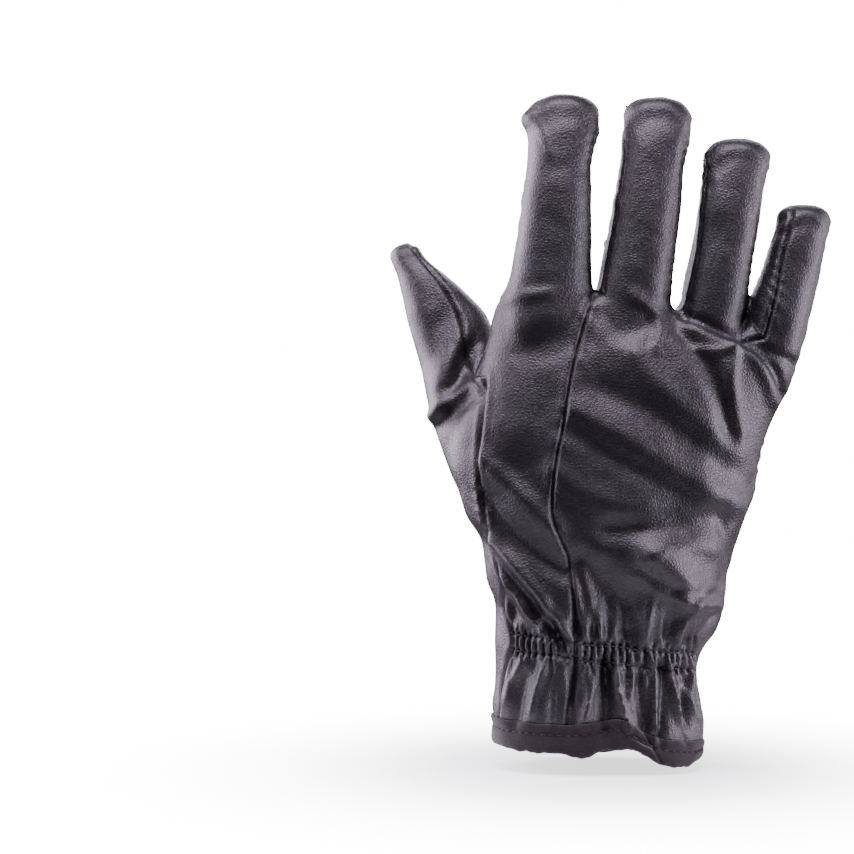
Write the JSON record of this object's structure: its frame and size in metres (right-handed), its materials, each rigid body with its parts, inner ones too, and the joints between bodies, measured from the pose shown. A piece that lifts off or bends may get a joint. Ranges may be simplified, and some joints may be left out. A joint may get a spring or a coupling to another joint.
{
  "type": "anti-vibration work glove",
  "caption": "Right-hand leather work glove with a padded palm that damps vibration, seamed fingers, a wrist gathered by hidden elastic at the back and a fabric-bound open cuff",
  "frame": {"origin": "middle of the cuff's opening, where the wrist goes in", "axes": "+Z from the cuff to the fingertips, -Y faces the back of the hand, +Y the palm, -X the thumb's side"},
  "size_m": [0.1699, 0.0683, 0.2574],
  "materials": {
    "leather": "fine-grained dark grey leather with a satin sheen",
    "pad_leather": "the same leather, stretched smooth over the damping pad",
    "binding_fabric": "matt brown-black woven binding with a slightly frayed lower edge"
  },
  "bodies": {
    "root": {"back_panel": "leather", "index_panel": "leather", "thumb_panel": "leather", "thumb_inner_panel": "leather", "palm_panel": "leather", "palm_pad": "pad_leather", "finger_strip_index_middle": "leather", "finger_strip_middle_ring": "leather", "finger_strip_ring_little": "leather", "cuff_binding": "binding_fabric"}
  },
  "joints": []
}
